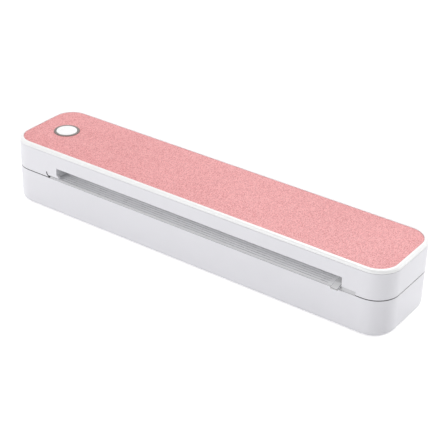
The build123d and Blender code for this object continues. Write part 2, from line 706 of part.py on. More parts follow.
with BuildPart() as lid_shell:
    extrude(housing_outline(lid_bottom_z, 0), amount=lid_top_z - lid_bottom_z)
    offset(amount=-wall, openings=lid_shell.faces().sort_by(Axis.Z)[0])
    front_wall = (front_y - 1.0, front_y + wall + 0.5)
    # the paper slot, and the lower notches over the plate's two ends
    slot_x = (slot_left, slot_right)
    block(slot_x, front_wall, (lid_bottom_z - 1.0, slot_top_z), mode=Mode.SUBTRACT)
    left_notch_x = (plate_left - fit_gap, slot_left)
    left_notch_z = (lid_bottom_z - 1.0, plate_top_z + plate_notch_gap)
    block(left_notch_x, front_wall, left_notch_z, mode=Mode.SUBTRACT)
    right_notch_x = (slot_right, plate_right + fit_gap)
    right_notch_z = (lid_bottom_z - 1.0, plate_top_z + stop_height + fit_gap)
    block(right_notch_x, front_wall, right_notch_z, mode=Mode.SUBTRACT)
    # the toe in the slot's lower left corner
    with BuildSketch(Plane.XZ.offset(-front_y)):
        with BuildLine():
            toe_z = plate_top_z + plate_notch_gap
            toe_tip = (slot_left + toe_size, toe_z)
            Polyline((slot_left, toe_z), toe_tip, (slot_left, toe_z + toe_size), close=True)
        make_face()
    extrude(amount=-wall)
    # the narrow relief slit beside the slot
    with BuildSketch(Plane.XZ.offset(-front_y + 1.0)):
        with BuildLine():
            slit_x = slot_left - relief_slit_offset
            Polyline(
                (slit_x, lid_bottom_z - 0.5),
                (slit_x - 2.6, plate_top_z + 1.2),
                (slit_x - 3.0, plate_top_z + 3.1),
            )
        trace(line_width=relief_slit_width)
    extrude(amount=-(wall + 2.0), mode=Mode.SUBTRACT)
    # the paper exit in the back wall
    back_wall = (body_depth / 2 - wall - 0.5, body_depth / 2 + 1.0)
    exit_x = (deck_left - 0.4, deck_right - 0.4)
    exit_z = (lid_bottom_z - 1.0, lid_bottom_z + exit_height)
    block(exit_x, back_wall, exit_z, mode=Mode.SUBTRACT)
    # the hinge's ears, with the back wall cut back round the base's knuckles
    ear_y = (hinge_y - hinge_radius, inner_y)
    for side in (-1, 1):
        middle = side * knuckle_middle
        gap_half = knuckle_width / 2 + ear_gap
        knuckle_gap = (middle - gap_half, middle + gap_half)
        clear_z = (lid_bottom_z - 1.0, hinge_z + hinge_radius + 0.6)
        block(knuckle_gap, back_wall, clear_z, mode=Mode.SUBTRACT)
        for ear_start in (middle - gap_half - ear_width, middle + gap_half):
            ear_x = (ear_start, ear_start + ear_width)
            block(ear_x, ear_y, (hinge_z, roof_z))
            rod_x(ear_x, hinge_y, hinge_z, hinge_radius)
        pin_x = (middle - gap_half - ear_width, middle + gap_half + ear_width)
        pin_bore = hinge_pin_radius + snug_gap
        rod_x(pin_x, hinge_y, hinge_z, pin_bore, mode=Mode.SUBTRACT)
    # bosses under the roof
    for x, y in magnet_spots:
        rod_z(x, y, (lid_bottom_z + fit_gap, roof_z), magnet_radius + wall / 2)
        magnet_z = (lid_bottom_z + fit_gap - 1.0, lid_bottom_z + fit_gap + magnet_thickness)
        rod_z(x, y, magnet_z, magnet_radius + snug_gap, mode=Mode.SUBTRACT)
    button_board_top_z = roof_z - switch_height - 1.4
    for x, y in button_board_spots:
        rod_z(x, y, (button_board_top_z, roof_z), boss_radius)
        rod_z(x, y, (button_board_top_z, roof_z), screw_radius, mode=Mode.SUBTRACT)
    for x, y in head_frame_spots:
        frame_screw_z = (head_frame_z + head_frame_thickness, roof_z)
        rod_z(x, y, frame_screw_z, boss_radius)
        rod_z(x, y, frame_screw_z, screw_radius, mode=Mode.SUBTRACT)
    # holes in the roof for the button and the cover's stakes
    rod_z(button_x, 0, (roof_z, lid_top_z), stem_radius + 0.5, mode=Mode.SUBTRACT)
    for x, y in stake_spots:
        rod_z(x, y, (roof_z, lid_top_z), stake_radius + snug_gap, mode=Mode.SUBTRACT)
    # below and behind the hinge axis the lid keeps inside the round that it sweeps
    with BuildSketch(Plane.YZ.offset(-body_length / 2 - 1.0)):
        with Locations((hinge_y, hinge_z - 10.0)):
            Rectangle(20.0, 10.0, align=(Align.MIN, Align.MIN))
        with Locations((hinge_y, hinge_z)):
            Circle(lid_sweep_radius, mode=Mode.SUBTRACT)
    extrude(amount=body_length + 2.0, mode=Mode.SUBTRACT)

with BuildPart() as top_cover:
    cover_bottom_z = lid_top_z + cover_groove
    extrude(housing_outline(cover_bottom_z, 0), amount=body_height - cover_bottom_z)
    top_rim = top_cover.faces().sort_by(Axis.Z)[-1].edges()
    fillet(top_rim, radius=cover_edge_radius)
    extrude(housing_outline(lid_top_z, cover_groove_depth), amount=cover_groove)
    recess_z = body_height - panel_recess
    extrude(housing_outline(recess_z, panel_inset), amount=panel_recess, mode=Mode.SUBTRACT)
    bezel_bore = bezel_radius + running_gap
    rod_z(button_x, 0, (lid_top_z, body_height), bezel_bore, mode=Mode.SUBTRACT)
    for x, y in stake_spots:
        rod_z(x, y, (roof_z - 0.6, lid_top_z + cover_groove), stake_radius)
        rod_z(x, y, (roof_z - 1.2, roof_z), stake_radius + 0.6)

with BuildPart() as leather_panel:
    panel_bottom_z = body_height - panel_recess
    extrude(housing_outline(panel_bottom_z, panel_inset + 0.05), amount=panel_thickness)
    rod_z(button_x, 0, (panel_bottom_z, body_height), bezel_radius + 0.05, mode=Mode.SUBTRACT)

flange_z_rest = lid_top_z + button_travel + running_gap
step_z = flange_z_rest + flange_height + running_gap
with BuildPart() as button_bezel:
    rod_z(button_x, 0, (lid_top_z, body_height + 0.1), bezel_radius)
    rod_z(button_x, 0, (lid_top_z, body_height + 0.1), cap_radius + 0.2, mode=Mode.SUBTRACT)
    rod_z(button_x, 0, (lid_top_z, step_z), cap_radius + 0.85, mode=Mode.SUBTRACT)
    bezel_rim = button_bezel.faces().sort_by(Axis.Z)[-1].edges().sort_by(SortBy.LENGTH)[-1]
    fillet(bezel_rim, radius=0.3)

with BuildPart() as button_board:
    board_z = (button_board_top_z - small_board_thickness, button_board_top_z)
    block((button_x - 7.0, button_x + 7.0), (-12.0, 12.0), board_z)
    for x, y in button_board_spots:
        rod_z(x, y, board_z, screw_radius + 0.2, mode=Mode.SUBTRACT)

with BuildPart() as button_switch:
    switch_top_z = button_board_top_z + switch_height
    half = switch_size / 2
    switch_x = (button_x - half, button_x + half)
    block(switch_x, (-half, half), (button_board_top_z, switch_top_z))
    chamfer(button_switch.edges().filter_by(Axis.Z), length=0.6)
    plunger_hole_z = (switch_top_z - 1.4, switch_top_z)
    rod_z(button_x, 0, plunger_hole_z, plunger_radius + running_gap, mode=Mode.SUBTRACT)

with BuildPart() as button_board_screws:
    for x, y in button_board_spots:
        screw(x, y, button_board_top_z - small_board_thickness, 4.6, up=-1)

with BuildPart() as upper_guide:
    ceiling_z = slot_top_z + fit_gap
    slope_front = ceiling_back_y
    slope_back = head_front - 2.0
    sheet = 1.2
    guide_points = [
        (-inner_y, ceiling_z),
        (slope_front, ceiling_z),
        (slope_back, ceramic_z + 0.8),
        (slope_back + 0.8, ceramic_z + 0.8 + sheet),
        (slope_front + 0.6, ceiling_z + sheet),
        (-inner_y, ceiling_z + sheet),
    ]
    extrude(side_profile(slot_left - sheet, guide_points), amount=slot_right - slot_left + sheet)
    cheek_points = [
        (-inner_y, plate_top_z + fit_gap),
        (slope_back, plate_top_z + fit_gap),
        (slope_back, ceramic_z + 0.8),
        (slope_front, ceiling_z + sheet),
        (-inner_y, ceiling_z + sheet),
    ]
    extrude(side_profile(slot_left - sheet, cheek_points), amount=sheet)
    left_ribs = (slot_left + 37.5, slot_left + 99.5)
    right_ribs = (slot_right - 107.5, slot_right - 63.5, slot_right - 15.5)
    for x in left_ribs + right_ribs:
        rib_x = (x - sheet / 2, x + sheet / 2)
        block(rib_x, (-inner_y, slope_front), (ceiling_z + sheet, roof_z))

cable_strip_z = sink_z + 1.1
cable_plug_y = board_middle_y + 8.5 + snug_gap
with BuildPart() as head_cable:
    with BuildSketch(Plane.YZ.offset(slot_right)):
        with BuildLine():
            FilletPolyline(
                (cable_y, cable_strip_z + 1.0),
                (cable_y, floor_z + 1.2),
                (-3.0, floor_z + 1.2),
                (-3.0, board_top_z + 1.2),
                (cable_plug_y, board_top_z + 1.2),
                radius=wire_bend,
            )
        trace(line_width=cable_thickness)
    extrude(amount=cable_width)
    strip_x = (6.0, slot_right + cable_width)
    strip_y = (cable_y - cable_thickness / 2, cable_y + cable_thickness / 2)
    block(strip_x, strip_y, (cable_strip_z, roof_z - cable_roof_gap))

ear_left = head_left - 0.6 - head_frame_thickness
ear_right = head_right + 0.6
with BuildPart() as head_frame:
    plate_z = (head_frame_z, head_frame_z + head_frame_thickness)
    frame_plate_x = (ear_left, ear_right + head_frame_thickness)
    block(frame_plate_x, (-5.0, pivot_y - 3.6), plate_z)
    for x in (ear_left, ear_right):
        ear_x = (x, x + head_frame_thickness)
        block(ear_x, (pivot_y - 4.0, pivot_y + 4.0), (pivot_z, plate_z[1]))
        rod_x(ear_x, pivot_y, pivot_z, 4.0)
        pin_clear = pivot_pin_radius + running_gap
        rod_x(ear_x, pivot_y, pivot_z, pin_clear, mode=Mode.SUBTRACT)
    for x, y in head_frame_spots:
        rod_z(x, y, plate_z, screw_radius + 0.2, mode=Mode.SUBTRACT)

with BuildPart() as head_frame_screws:
    for x, y in head_frame_spots:
        length = roof_z - head_frame_z - 0.4
        screw(x, y, head_frame_z, length, up=-1)

with BuildPart() as head_springs:
    for x, y in spring_spots:
        spring_z = (sink_z + sink_thickness, head_frame_z)
        rod_z(x, y, spring_z, spring_radius)
        rod_z(x, y, spring_z, spring_radius - spring_wire, mode=Mode.SUBTRACT)

with BuildPart() as latch_magnets:
    for x, y in magnet_spots:
        magnet_z = (lid_bottom_z + fit_gap, lid_bottom_z + fit_gap + magnet_thickness)
        rod_z(x, y, magnet_z, magnet_radius)

with BuildPart() as hinge_pins:
    pin_half = knuckle_width / 2 + ear_gap + ear_width
    for side in (-1, 1):
        middle = side * knuckle_middle
        rod_x((middle - pin_half, middle + pin_half), hinge_y, hinge_z, hinge_pin_radius)


# The button that is pressed

with BuildPart() as button_cap:
    cap_top_z = body_height + cap_crown
    rod_z(button_x, 0, (flange_z_rest, cap_top_z), cap_radius)
    cap_rim = button_cap.faces().sort_by(Axis.Z)[-1].edges()
    fillet(cap_rim, radius=0.5)
    rod_z(button_x, 0, (flange_z_rest, flange_z_rest + flange_height), cap_radius + 0.6)
    stem_bottom_z = switch_top_z + 0.8
    rod_z(button_x, 0, (stem_bottom_z, flange_z_rest), stem_radius)

with BuildPart() as switch_plunger:
    rod_z(button_x, 0, (switch_top_z - 0.6, stem_bottom_z), plunger_radius)


# The print head, which swings on its pivots

with BuildPart() as head_sink:
    block((head_left, head_right), (head_front, head_back), (sink_z, sink_z + sink_thickness))
    pivot_block_y = (pivot_y - 3.0, head_back)
    pivot_block_z = (sink_z + sink_thickness, pivot_z + 3.0)
    for x_span in ((head_left, head_left + 9.0), (head_right - 9.0, head_right)):
        block(x_span, pivot_block_y, pivot_block_z)
    for fin_y in (head_front + 1.0, head_back - 3.4):
        fin_x = (head_left + 12.0, head_right - 12.0)
        block(fin_x, (fin_y, fin_y + 1.6), (sink_z, head_frame_z - 3.5))
    for end_x in (head_left, head_right):
        hole_x = (end_x - 6.0, end_x + 6.0)
        rod_x(hole_x, pivot_y, pivot_z, pivot_pin_radius + snug_gap, mode=Mode.SUBTRACT)

with BuildPart() as head_pivot_pins:
    rod_x((ear_left - 0.5, head_left + 5.8), pivot_y, pivot_z, pivot_pin_radius)
    right_pin_end = ear_right + head_frame_thickness + 0.5
    rod_x((head_right - 5.8, right_pin_end), pivot_y, pivot_z, pivot_pin_radius)

with BuildPart() as head_ceramic:
    ceramic_x = (printing_left + 0.6, printing_right - 0.6)
    block(ceramic_x, (ceramic_front, ceramic_back), (ceramic_z, sink_z))

with BuildPart() as head_board:
    head_board_z = (sink_z - 0.8, sink_z)
    block(ceramic_x, (ceramic_back + 0.2, head_back + 3.0), head_board_z)

with BuildPart() as head_connector:
    block((-18.0, 18.0), (head_back + 0.2, head_back + 2.8), (sink_z, sink_z + 3.0))


pieces = {
    "base_shell": base_shell,
    "rubber_feet": rubber_feet,
    "paper_deck": paper_deck,
    "deck_screws": deck_screws,
    "guide_plate": guide_plate,
    "left_frame": left_frame,
    "right_frame": right_frame,
    "frame_screws": frame_screws,
    "platen_bushes": platen_bushes,
    "motor_housing": motor_housing,
    "gear_axle": gear_axle,
    "main_board": main_board,
    "board_components": board_components,
    "board_screws": board_screws,
    "usb_board": usb_board,
    "usb_socket": usb_socket,
    "battery_tray": battery_tray,
    "battery_cells": battery_cells,
    "battery_contacts": battery_contacts,
    "battery_wires": battery_wires,
    "motor_wires": motor_wires,
    "usb_cable": usb_cable,
    "paper_sensor": paper_sensor,
    "latch_keepers": latch_keepers,
    "platen_shaft": platen_shaft,
    "platen_rubber": platen_rubber,
    "platen_gear": platen_gear,
    "idler_gear": idler_gear,
    "motor_pinion": motor_pinion,
    "motor_shaft": motor_shaft,
    "side_guide": side_guide,
    "guide_shoe": guide_shoe,
    "lid_shell": lid_shell,
    "top_cover": top_cover,
    "leather_panel": leather_panel,
    "button_bezel": button_bezel,
    "button_board": button_board,
    "button_switch": button_switch,
    "button_board_screws": button_board_screws,
    "upper_guide": upper_guide,
    "head_frame": head_frame,
    "head_frame_screws": head_frame_screws,
    "head_springs": head_springs,
    "latch_magnets": latch_magnets,
    "hinge_pins": hinge_pins,
    "head_cable": head_cable,
    "button_cap": button_cap,
    "switch_plunger": switch_plunger,
    "head_sink": head_sink,
    "head_pivot_pins": head_pivot_pins,
    "head_ceramic": head_ceramic,
    "head_board": head_board,
    "head_connector": head_connector,
}
for name, piece in pieces.items():
    piece.part.label = name
    export_step(piece.part, f"parts/{name}.step")
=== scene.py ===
import json
import math

import bmesh
import bpy
from mathutils import Matrix, Vector


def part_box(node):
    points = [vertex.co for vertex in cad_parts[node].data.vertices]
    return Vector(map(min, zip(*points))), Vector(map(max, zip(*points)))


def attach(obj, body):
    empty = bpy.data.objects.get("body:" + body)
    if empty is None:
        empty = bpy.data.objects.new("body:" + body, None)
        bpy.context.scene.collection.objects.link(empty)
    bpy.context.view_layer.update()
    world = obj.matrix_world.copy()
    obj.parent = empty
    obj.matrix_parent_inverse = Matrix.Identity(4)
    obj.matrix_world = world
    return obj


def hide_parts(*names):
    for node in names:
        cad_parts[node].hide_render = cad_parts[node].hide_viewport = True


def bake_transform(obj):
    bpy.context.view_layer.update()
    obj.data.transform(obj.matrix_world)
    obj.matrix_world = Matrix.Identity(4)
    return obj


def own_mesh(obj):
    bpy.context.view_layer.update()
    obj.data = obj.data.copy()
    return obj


# The finish and the small detail of a portable thermal printer, in metres, +Z up, paper slot at -Y.

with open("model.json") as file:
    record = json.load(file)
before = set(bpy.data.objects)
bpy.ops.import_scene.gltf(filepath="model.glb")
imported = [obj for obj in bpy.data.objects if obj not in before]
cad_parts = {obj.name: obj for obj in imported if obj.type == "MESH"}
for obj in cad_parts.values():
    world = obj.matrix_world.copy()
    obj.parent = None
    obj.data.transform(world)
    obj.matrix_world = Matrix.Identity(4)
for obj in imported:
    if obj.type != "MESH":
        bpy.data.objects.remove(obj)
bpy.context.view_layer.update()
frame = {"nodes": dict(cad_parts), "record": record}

MM = 0.001
EDGE_ANGLE = math.radians(32)
FLAT_ANGLE = math.radians(0.3)
EDGE_WIDTH = 0.1 * MM
WELD_DISTANCE = 2e-6
SCREW_HEAD_HEIGHT = 1.1 * MM
nodes = frame["nodes"]
body_of_node = {node: body for body, members in frame["record"]["behaviour"]["bodies"].items()
                for node in members}
slot_of_node = {part["node"]: part["material_slot"] for part in frame["record"]["subparts"]}


# Materials

class Finish:
    """A material with its shader and the few texture nodes that the finishes below share."""

    def __init__(self, name, colour, roughness, metallic=0.0, specular=0.5):
        self.material = bpy.data.materials.new(name)
        self.material.use_nodes = True
        self.tree = self.material.node_tree
        self.shader = self.tree.nodes["Principled BSDF"]
        self.shader.inputs["Base Color"].default_value = (*colour, 1.0)
        self.shader.inputs["Roughness"].default_value = roughness
        self.shader.inputs["Metallic"].default_value = metallic
        self.shader.inputs["Specular IOR Level"].default_value = specular
        self.place = self.tree.nodes.new("ShaderNodeTexCoord").outputs["Object"]

    def node(self, kind, **settings):
        made = self.tree.nodes.new(kind)
        for key, value in settings.items():
            setattr(made, key, value)
        return made

    def link(self, output, socket):
        self.tree.links.new(output, socket)

    def stretched(self, x, y, z):
        """Object coordinates, scaled along each axis."""
        mapping = self.node("ShaderNodeMapping")
        mapping.inputs["Scale"].default_value = (x, y, z)
        self.link(self.place, mapping.inputs["Vector"])
        return mapping.outputs["Vector"]

    def noise(self, scale, detail=3.0, place=None):
        made = self.node("ShaderNodeTexNoise")
        made.inputs["Scale"].default_value = scale
        made.inputs["Detail"].default_value = detail
        self.link(place or self.place, made.inputs["Vector"])
        return made.outputs["Fac"]

    def cells(self, scale, place=None):
        made = self.node("ShaderNodeTexVoronoi")
        made.inputs["Scale"].default_value = scale
        self.link(place or self.place, made.inputs["Vector"])
        return made.outputs["Distance"]

    def spread(self, value, low, high, from_low=0.3, from_high=0.7):
        """A texture value carried from one range to another."""
        made = self.node("ShaderNodeMapRange")
        made.inputs["From Min"].default_value = from_low
        made.inputs["From Max"].default_value = from_high
        made.inputs["To Min"].default_value = low
        made.inputs["To Max"].default_value = high
        self.link(value, made.inputs["Value"])
        return made.outputs["Result"]

    def blend(self, factor, first, second):
        """A colour between two others."""
        made = self.node("ShaderNodeMix", data_type="RGBA")
        self.link(factor, made.inputs["Factor"])
        for socket, colour in ((made.inputs["A"], first), (made.inputs["B"], second)):
            if isinstance(colour, tuple):
                socket.default_value = (*colour, 1.0)
            else:
                self.link(colour, socket)
        return made.outputs["Result"]

    def add(self, first, second):
        made = self.node("ShaderNodeMath", operation="ADD")
        self.link(first, made.inputs[0])
        self.link(second, made.inputs[1])
        return made.outputs["Value"]

    def colour(self, output):
        self.link(output, self.shader.inputs["Base Color"])
        return self

    def roughness(self, output):
        self.link(output, self.shader.inputs["Roughness"])
        return self

    def relief(self, height, depth, strength=1.0):
        """Bump from a height between 0 and 1, depth in metres."""
        made = self.node("ShaderNodeBump")
        made.inputs["Distance"].default_value = depth
        made.inputs["Strength"].default_value = strength
        self.link(height, made.inputs["Height"])
        self.link(made.outputs["Normal"], self.shader.inputs["Normal"])
        return self


def moulded(name, colour, roughness, mottle=0.02, grain=0.00001):
    """Injection-moulded plastic: a faint mottle and a fine spark-eroded texture."""
    finish = Finish(name, colour, roughness)
    darker = tuple(channel * (1 - mottle) for channel in colour)
    finish.colour(finish.blend(finish.spread(finish.noise(35.0), 0.0, 1.0), darker, colour))
    finish.roughness(finish.spread(finish.noise(180.0), roughness - 0.03, roughness + 0.03))
    finish.relief(finish.noise(3500.0, 2.0), grain)
    return finish.material


def leatherette(name, shade, pale, painted_highlight_tint):
    """Soft pink leatherette: pebbled grain, a heathered colour, a faint sheen and painted highlights,
    lighter spots that stand for glints of light on the grain.
    """
    finish = Finish(name, pale, 0.5, specular=0.75)
    finish.shader.inputs["Sheen Weight"].default_value = 0.12
    finish.shader.inputs["Sheen Roughness"].default_value = 0.5
    wander = finish.noise(1500.0, 3.0)
    pebble = finish.cells(980.0, place=finish.stretched(1.0, 1.25, 1.0))
    strands = finish.noise(1900.0, 2.0, finish.stretched(1.0, 0.6, 1.0))
    drift = finish.spread(finish.noise(14.0, 2.0), -0.12, 0.12)
    heather = finish.add(finish.spread(strands, 0.0, 1.0, 0.41, 0.59), drift)
    body = finish.blend(heather, shade, pale)
    # Painted highlight: random spots of the grain blended towards a lighter tint, standing for glints
    # of light.
    painted_highlight_spots = finish.spread(wander, 0.0, 0.8, 0.52, 0.7)
    finish.colour(finish.blend(painted_highlight_spots, body, painted_highlight_tint))
    height = finish.add(finish.spread(pebble, 1.0, 0.0, 0.05, 0.75), wander)
    finish.roughness(finish.spread(pebble, 0.42, 0.6, 0.1, 0.7))
    finish.relief(height, 0.00007, 0.8)
    return finish.material


def clear_plastic(name, colour, see_through, roughness):
    """Clear moulding, slightly hazed, so that what lies behind it shows softly."""
    finish = Finish(name, colour, roughness)
    finish.shader.inputs["Transmission Weight"].default_value = see_through
    finish.shader.inputs["IOR"].default_value = 1.49
    finish.roughness(finish.spread(finish.noise(150.0, 2.0), roughness, roughness + 0.06))
    return finish.material


def rubber(name, colour, roughness=0.75):
    finish = Finish(name, colour, roughness, specular=0.3)
    lighter = tuple(channel * 1.35 for channel in colour)
    finish.colour(finish.blend(finish.spread(finish.noise(260.0), 0.0, 1.0), colour, lighter))
    finish.relief(finish.noise(2600.0, 3.0), 0.00002)
    return finish.material


def metal(name, colour, roughness, brushed=(1.0, 1.0, 1.0)):
    """Plated or rolled metal, its marks drawn out along one axis."""
    finish = Finish(name, colour, roughness, metallic=1.0)
    marks = finish.noise(900.0, 4.0, finish.stretched(*brushed))
    duller = tuple(channel * 0.86 for channel in colour)
    finish.colour(finish.blend(finish.spread(finish.noise(60.0), 0.0, 1.0), duller, colour))
    finish.roughness(finish.spread(marks, roughness - 0.07, roughness + 0.09))
    finish.relief(marks, 0.000004)
    return finish.material


def circuit_board(name, mask, copper):
    """Green solder mask over a maze of tracks, with the glass weave just showing."""
    finish = Finish(name, mask, 0.32)
    bricks = finish.node("ShaderNodeTexBrick", offset=0.5, squash=0.7)
    bricks.inputs["Scale"].default_value = 260.0
    bricks.inputs["Mortar Size"].default_value = 0.035
    finish.link(finish.place, bricks.inputs["Vector"])
    track = bricks.outputs["Fac"]
    pads = finish.spread(finish.cells(330.0), 1.0, 0.0, 0.12, 0.16)
    lighter = tuple(channel * 1.7 + 0.01 for channel in mask)
    traced = finish.blend(track, mask, lighter)
    finish.colour(finish.blend(pads, traced, copper))
    finish.relief(finish.add(track, pads), 0.00003)
    return finish.material


def battery_wrap(name, sleeve):
    """Shrink sleeve, faintly creased along the cells."""
    finish = Finish(name, sleeve, 0.3)
    finish.relief(finish.noise(400.0, 2.0, finish.stretched(0.3, 1.0, 1.0)), 0.00002)
    return finish.material


finishes = {
    "white_plastic": moulded("satin white plastic", (0.795, 0.79, 0.828), 0.42),
    "white_gloss": moulded("glossy white plastic", (0.93, 0.93, 0.935), 0.26, 0.01, 0.000004),
    # The leatherette's third colour is the tint of its painted highlights.
    "pink_leather": leatherette(
        "pink leatherette", (0.56, 0.155, 0.16), (0.81, 0.318, 0.326), (0.92, 0.50, 0.505)
    ),
    "bezel_grey": moulded("warm grey plastic", (0.20, 0.17, 0.155), 0.35),
    "clear_plastic": clear_plastic("clear plastic", (0.96, 0.96, 0.97), 0.12, 0.05),
    "frosted_plastic": clear_plastic("frosted plastic", (0.90, 0.90, 0.92), 0.08, 0.3),
    "deck_plastic": moulded("pale grey plastic", (0.8, 0.8, 0.82), 0.45),
    "dark_plastic": moulded("black plastic", (0.028, 0.028, 0.03), 0.4),
    "rubber": rubber("grey rubber", (0.09, 0.09, 0.095)),
    "platen_rubber": rubber("roller rubber", (0.03, 0.03, 0.032), 0.6),
    "gear_plastic": moulded("acetal", (0.72, 0.70, 0.63), 0.36),
    "brass": metal("brass", (0.78, 0.56, 0.26), 0.28, (0.05, 1.0, 1.0)),
    "steel": metal("zinc-plated steel", (0.60, 0.61, 0.63), 0.36, (0.2, 1.0, 1.0)),
    "nickel": metal("nickel", (0.66, 0.64, 0.60), 0.22),
    "aluminium": metal("aluminium", (0.70, 0.71, 0.73), 0.42, (0.03, 1.0, 1.0)),
    "ceramic": moulded("glazed ceramic", (0.70, 0.67, 0.60), 0.18, 0.04),
    "circuit_board": circuit_board("circuit board", (0.012, 0.12, 0.045), (0.55, 0.42, 0.2)),
    "component_black": moulded("epoxy black", (0.02, 0.02, 0.022), 0.5),
    "battery_wrap": battery_wrap("shrink sleeve", (0.03, 0.16, 0.38)),
    "wire_sleeve": rubber("red wire sleeve", (0.42, 0.02, 0.02), 0.45),
    "cable_film": moulded("cable film", (0.74, 0.74, 0.70), 0.35),
    # Painted shade: a darker copy of the frosted plastic for the moulded lines in the slot's floor,
    # standing for the shade along the ribs.
    "painted_rib_shade": clear_plastic("frosted line painted shade", (0.69, 0.69, 0.71), 0.1, 0.25),
    # Painted shade: dark grey for the faces in the seam between the housing's halves and for the sides
    # of the slit beside the slot.
    "painted_gap_shade": moulded("painted gap shade", (0.16, 0.16, 0.17), 0.6),
    # Painted shade: a darker copy of the frosted plastic for the guide plate's front face and raised
    # stop.
    "painted_frosted_edge_shade": clear_plastic("frosted edge painted shade", (0.66, 0.66, 0.68), 0.1, 0.3),
    # Painted shade: a dark copy of the clear plastic on the side guide's rounded edges, standing for
    # the dark lines along the edges of clear plastic.
    "painted_clear_edge_shade": clear_plastic("clear plastic painted edge shade", (0.3, 0.3, 0.31), 0.1, 0.1),
    "black_sleeve": rubber("black wire sleeve", (0.015, 0.015, 0.016), 0.45),
}


# Making pieces

def linked(name, data):
    """An object in the scene."""
    made = bpy.data.objects.new(name, data)
    bpy.context.scene.collection.objects.link(made)
    return made


def placed(name, mesh, body, slot, *replaced):
    """A piece that rides on a body and may stand for nodes of the frame."""
    piece = linked(name, mesh)
    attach(piece, body)
    if replaced:
        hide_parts(*replaced)
    return piece


def merged(node):
    """A copy of a solid's mesh, its loose triangles joined and its flat faces whole."""
    mesh = nodes[node].data.copy()
    mesh.name = node + "_finished"
    shape = bmesh.new()
    shape.from_mesh(mesh)
    bmesh.ops.remove_doubles(shape, verts=shape.verts, dist=WELD_DISTANCE)
    bmesh.ops.dissolve_limit(
        shape, angle_limit=FLAT_ANGLE, verts=shape.verts, edges=shape.edges, delimit={"NORMAL"}
    )
    shape.to_mesh(mesh)
    shape.free()
    mesh.materials.clear()
    mesh.shade_smooth()
    mesh.set_sharp_from_angle(angle=EDGE_ANGLE)
    return mesh


def rounded(piece, width):
    """Softens a piece's sharp edges."""
    rounding = piece.modifiers.new("edge", "BEVEL")
    rounding.width = width
    rounding.segments = 2
    rounding.limit_method = "ANGLE"
    rounding.angle_limit = EDGE_ANGLE
    rounding.harden_normals = True


def dressed(node, edge=EDGE_WIDTH, zones=(), painted_edge_shade=None):
    """A solid with its finish and rounded edges, which may have painted shade of their own, a darker
    finish on the rounded faces.

    Each zone is a finish and a rule that picks faces.
    """
    mesh = merged(node)
    mesh.materials.append(finishes[slot_of_node[node]])
    for index, (finish, rule) in enumerate(zones):
        mesh.materials.append(finish)
        for face in mesh.polygons:
            if rule(face.center, face.normal):
                face.material_index = index + 1
    piece = placed(node + "_finished", mesh, body_of_node[node], slot_of_node[node], node)
    rounded(piece, edge)
    if painted_edge_shade:
        mesh.materials.append(painted_edge_shade)
        piece.modifiers["edge"].material = len(mesh.materials) - 1
    return piece


def from_bmesh(shape, name, material):
    mesh = bpy.data.meshes.new(name)
    shape.normal_update()
    shape.to_mesh(mesh)
    shape.free()
    mesh.materials.append(material)
    mesh.shade_smooth()
    mesh.set_sharp_from_angle(angle=EDGE_ANGLE)
    return mesh


def lathe(profile):
    """A solid turned about Z from (radius, height) pairs that start and end on the axis."""
    shape = bmesh.new()
    points = [shape.verts.new((radius, 0.0, height)) for radius, height in profile]
    edges = [shape.edges.new(pair) for pair in zip(points, points[1:])]
    bmesh.ops.spin(
        shape, geom=points + edges, axis=(0, 0, 1), cent=(0, 0, 0), angle=2 * math.pi, steps=24,
        use_duplicate=False,
    )
    bmesh.ops.remove_doubles(shape, verts=shape.verts, dist=1e-7)
    bmesh.ops.recalc_face_normals(shape, faces=shape.faces)
    return shape


def bar(shape, low, high):
    """Adds a box between two corners."""
    size = [top - bottom for bottom, top in zip(low, high)]
    made = bmesh.ops.create_cube(shape, size=1.0)["verts"]
    bmesh.ops.scale(shape, vec=size, verts=made)
    middle = Vector([(bottom + top) / 2 for bottom, top in zip(low, high)])
    bmesh.ops.translate(shape, vec=middle, verts=made)


def socketed(tree, name, kind, output=False):
    tree.interface.new_socket(name, in_out="OUTPUT" if output else "INPUT", socket_type=kind)


class Repeat:
    """A node group that repeats one shape, turned into a plain mesh once its values are set."""

    def __init__(self, name):
        self.tree = bpy.data.node_groups.new(name, "GeometryNodeTree")
        socketed(self.tree, "Geometry", "NodeSocketGeometry", output=True)
        self.values = {}
        self.entry = self.tree.nodes.new("NodeGroupInput")

    def input(self, name, kind, value=None):
        """Adds a named input with its value, and gives the socket that carries it."""
        socketed(self.tree, name, "NodeSocket" + kind)
        if value is not None:
            self.values[name] = value
        return self.entry.outputs[name]

    def node(self, kind, links):
        made = self.tree.nodes.new(kind)
        for socket, source in links.items():
            if isinstance(source, bpy.types.NodeSocket):
                self.tree.links.new(source, made.inputs[socket])
            else:
                made.inputs[socket].default_value = source
        return made

    def mesh(self, instances, material, start=None):
        """The repeated shape as a mesh, with its material set."""
        surface = self.input("Material", "Material", material)
        whole = self.node("GeometryNodeRealizeInstances", {"Geometry": instances})
        finished = self.node(
            "GeometryNodeSetMaterial", {"Geometry": whole.outputs["Geometry"], "Material": surface}
        )
        self.node("NodeGroupOutput", {"Geometry": finished.outputs["Geometry"]})
        holder = linked("repeat", start or bpy.data.meshes.new("repeat"))
        modifier = holder.modifiers.new("repeat", "NODES")
        modifier.node_group = self.tree
        for item in self.tree.interface.items_tree:
            if item.in_out == "INPUT" and item.name in self.values:
                modifier[item.identifier] = self.values[item.name]
        shown = holder.evaluated_get(bpy.context.evaluated_depsgraph_get())
        mesh = bpy.data.meshes.new_from_object(shown)
        bpy.data.objects.remove(holder)
        return mesh


